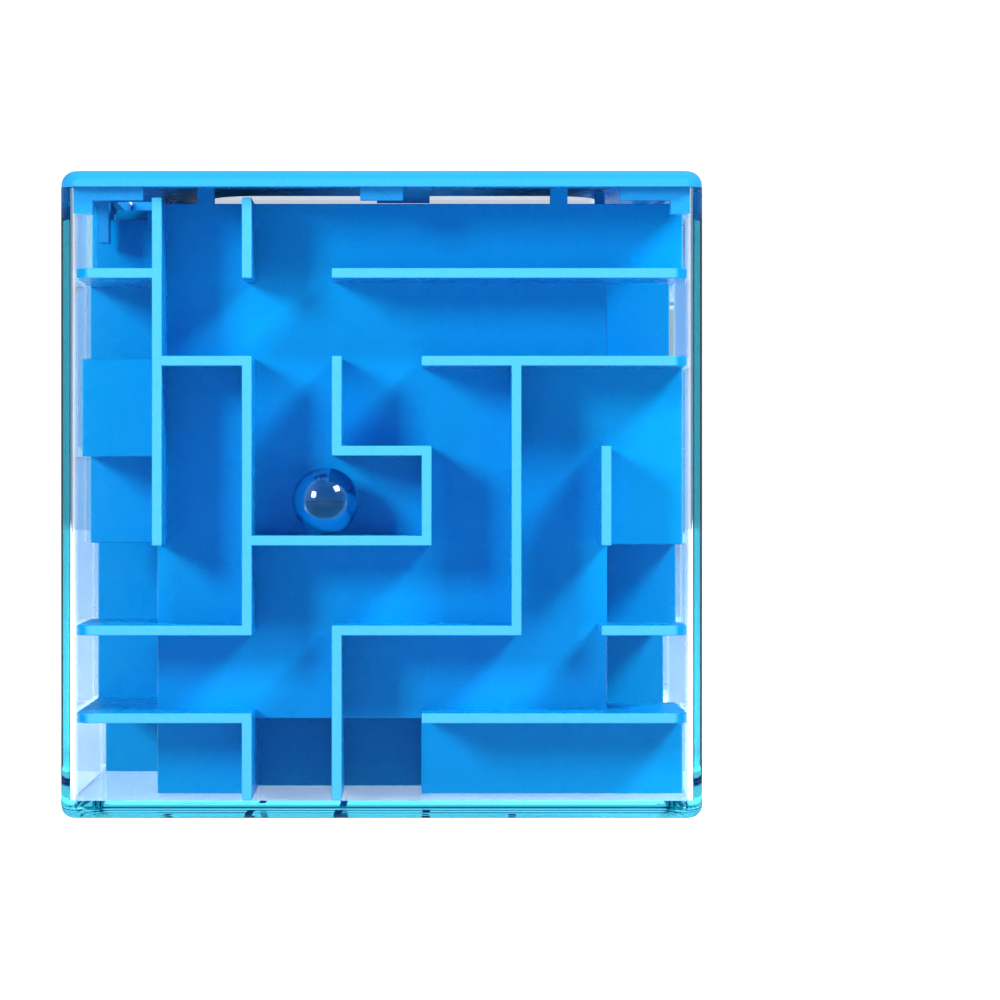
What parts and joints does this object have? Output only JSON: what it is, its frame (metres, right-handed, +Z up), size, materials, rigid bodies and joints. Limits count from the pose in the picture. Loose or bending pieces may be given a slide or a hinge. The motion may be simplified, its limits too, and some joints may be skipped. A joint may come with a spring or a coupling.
{
  "type": "maze coin bank",
  "caption": "Clear cube puzzle bank: a steel ball rolls through a blue maze round a cash box, under a coin-slot lid with a sliding lock.",
  "frame": {"origin": "centre of the underside of the clear box", "axes": "+Z up through the lid; the front face is -Y; the slider and its covers are on the -X side"},
  "size_m": [0.09, 0.09, 0.0923],
  "materials": {
    "clear_plastic": "clear moulded polystyrene, polished",
    "blue_plastic": "gloss moulded ABS",
    "lid_plastic": "gloss moulded ABS",
    "natural_plastic": "natural polypropylene sheet",
    "ball_steel": "polished steel ball",
    "steel": "zinc-plated steel"
  },
  "bodies": {
    "box": {"clear_box": "clear_plastic", "cash_box": "blue_plastic", "front_maze": "blue_plastic", "back_maze": "blue_plastic", "left_maze": "blue_plastic", "right_maze": "blue_plastic", "floor_maze": "blue_plastic"},
    "lid": {"lid": "lid_plastic", "coin_disc": "lid_plastic", "disc_plate": "natural_plastic", "disc_screws": "steel", "latch_cover": "blue_plastic", "corner_cover": "blue_plastic", "pawl_pin": "steel", "pawl_spring": "steel"},
    "slider": {"slider_knob": "lid_plastic", "latch_bar": "blue_plastic", "knob_screw": "steel"},
    "pawl": {"ball_pawl": "natural_plastic"},
    "ball": {"ball": "ball_steel"}
  },
  "joints": [
    {"name": "lid_lift", "type": "slide", "parent": "box", "child": "lid", "axis": [0, 0, 1], "range_m": [0, 0.06]},
    {"name": "slider_slide", "type": "slide", "parent": "lid", "child": "slider", "axis": [0, -1, 0], "range_m": [0, 0.025]},
    {"name": "pawl_rock", "type": "hinge", "parent": "lid", "child": "pawl", "pos_m": [-0.0386, 0.0045, 0.0825], "axis": [-1, 0, 0], "range_deg": [0, 9], "deforming": ["pawl_spring"]},
    {"name": "ball_roll", "type": "slide", "parent": "box", "child": "ball", "axis": [1, 0, 0], "range_m": [-0.0053, 0.0087]}
  ]
}
